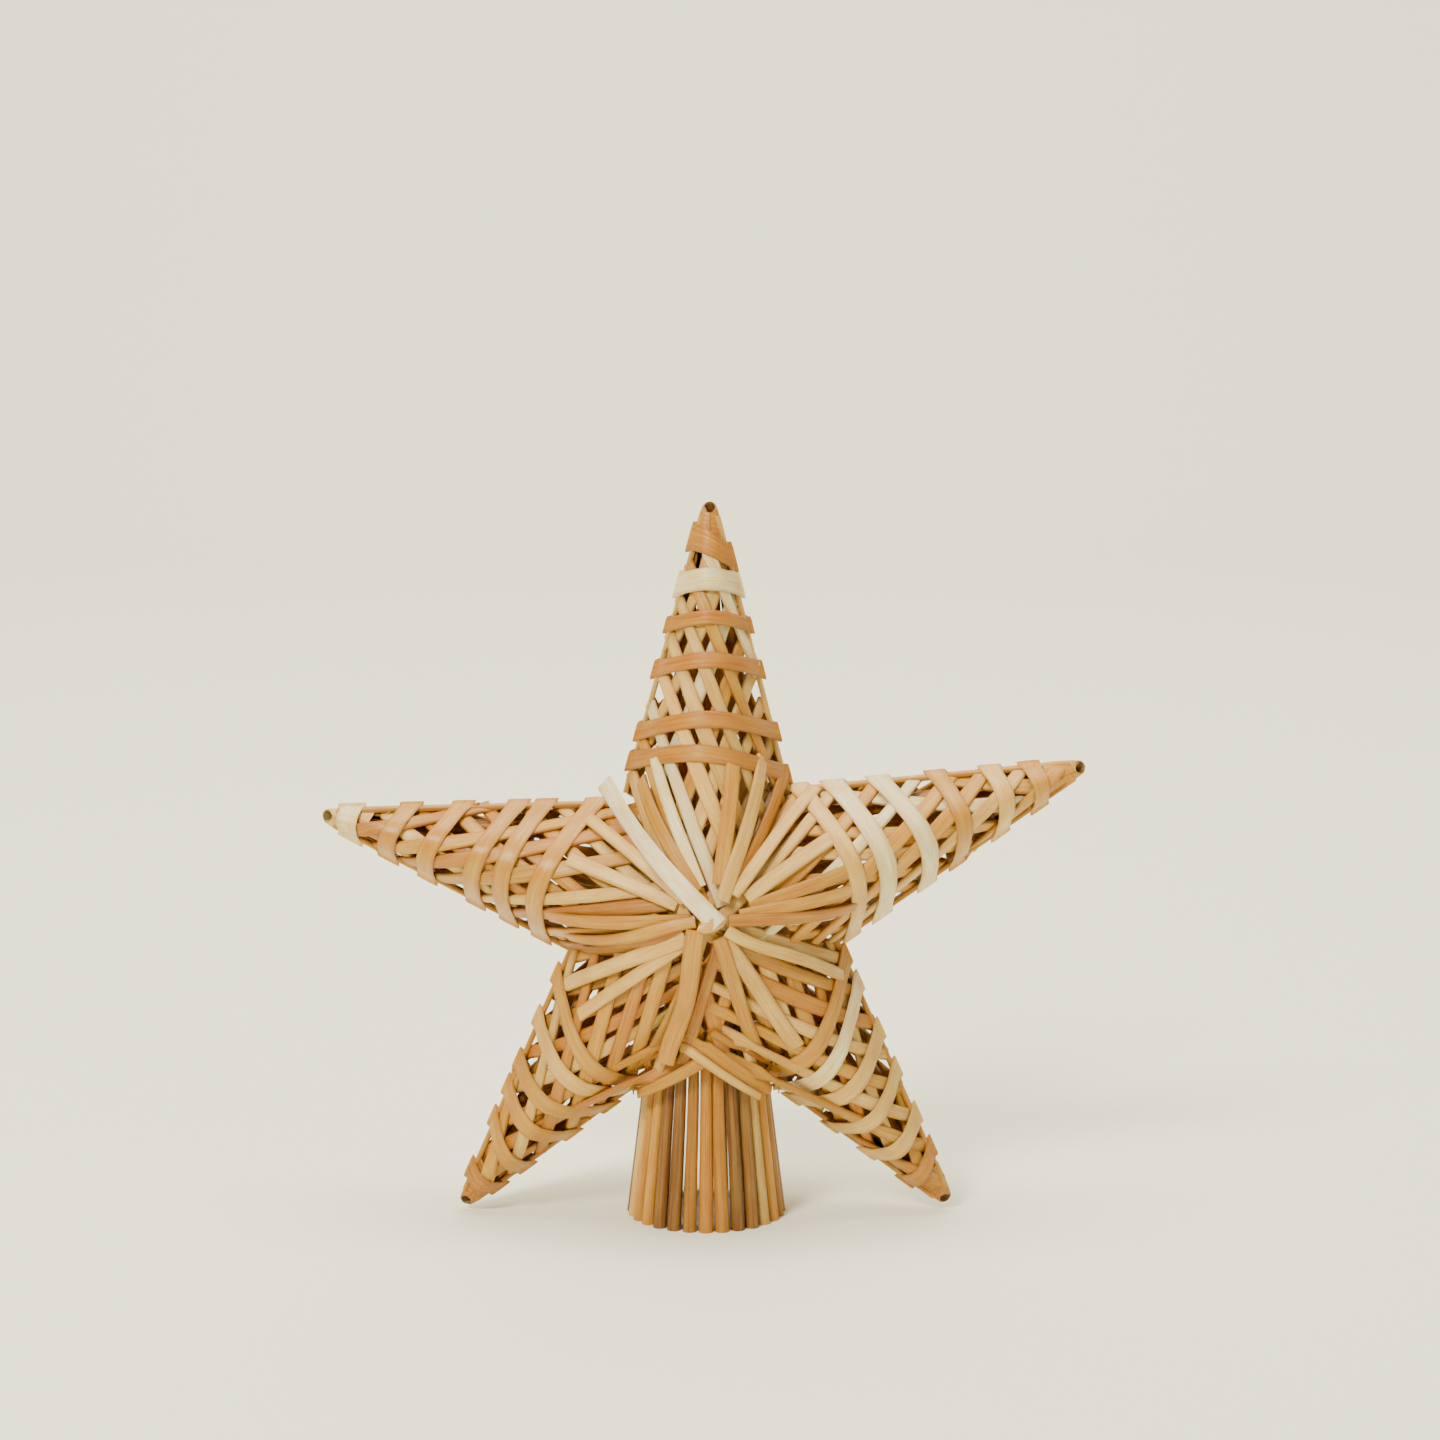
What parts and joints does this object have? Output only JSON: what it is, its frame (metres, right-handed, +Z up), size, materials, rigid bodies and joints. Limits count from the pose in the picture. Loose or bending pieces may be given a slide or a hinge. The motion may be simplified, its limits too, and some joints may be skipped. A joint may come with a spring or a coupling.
{
  "type": "star tree topper",
  "caption": "Hollow five-point star woven of flat straw, its arms wrapped with folded bands, standing on a flared ring of upright straws that slips over a tree's leader.",
  "frame": {"origin": "middle of the rim of the ring of upright straws, on the surface the star stands on", "axes": "+Z up along the ring's axis and the top arm, -Y out of the star's front, +X to the viewer's right of the front"},
  "size_m": [0.2561, 0.0872, 0.2419],
  "materials": {
    "straw_base": "round straw, satin",
    "straw_weave": "flattened straw, satin",
    "straw_band": "folded flat straw, satin sheen",
    "straw_ivory": "pale flat straw, glossy sheen"
  },
  "bodies": {
    "root": {"base_straw_01": "straw_base", "base_straw_02": "straw_base", "base_straw_03": "straw_base", "base_straw_04": "straw_base", "base_straw_05": "straw_base", "base_straw_06": "straw_base", "base_straw_07": "straw_base", "base_straw_08": "straw_base", "base_straw_09": "straw_base", "base_straw_10": "straw_base", "base_straw_11": "straw_base", "base_straw_12": "straw_base", "base_straw_13": "straw_base", "base_straw_14": "straw_base", "base_straw_15": "straw_base", "base_straw_16": "straw_base", "base_straw_17": "straw_base", "base_straw_18": "straw_base", "base_straw_19": "straw_base", "base_straw_20": "straw_base", "base_straw_21": "straw_base", "base_straw_22": "straw_base", "base_straw_23": "straw_base", "base_straw_24": "straw_base", "base_straw_25": "straw_base", "base_straw_26": "straw_base", "base_straw_27": "straw_base", "base_straw_28": "straw_base", "crossing_straw_1": "straw_weave", "crossing_straw_2": "straw_weave", "hanging_middle_straw": "straw_weave", "ivory_middle_straw": "straw_ivory", "left_arm_back_weave": "straw_weave", "left_arm_front_weave": "straw_weave", "left_arm_wrap": "straw_band", "left_tip_cap": "straw_band", "lower_left_arm_back_weave": "straw_weave", "lower_left_arm_front_weave": "straw_weave", "lower_left_arm_wrap": "straw_band", "lower_left_tip_cap": "straw_band", "lower_right_arm_back_weave": "straw_weave", "lower_right_arm_front_weave": "straw_weave", "lower_right_arm_wrap": "straw_band", "lower_right_tip_cap": "straw_band", "middle_straw_01": "straw_weave", "middle_straw_02": "straw_weave", "middle_straw_03": "straw_weave", "middle_straw_04": "straw_weave", "middle_straw_05": "straw_weave", "middle_straw_06": "straw_weave", "middle_straw_07": "straw_weave", "middle_straw_08": "straw_weave", "right_arm_back_weave": "straw_weave", "right_arm_front_weave": "straw_weave", "right_arm_wrap": "straw_band", "right_tip_cap": "straw_band", "top_arm_back_weave": "straw_weave", "top_arm_front_weave": "straw_weave", "top_arm_wrap": "straw_band", "top_tip_cap": "straw_band"}
  },
  "joints": []
}
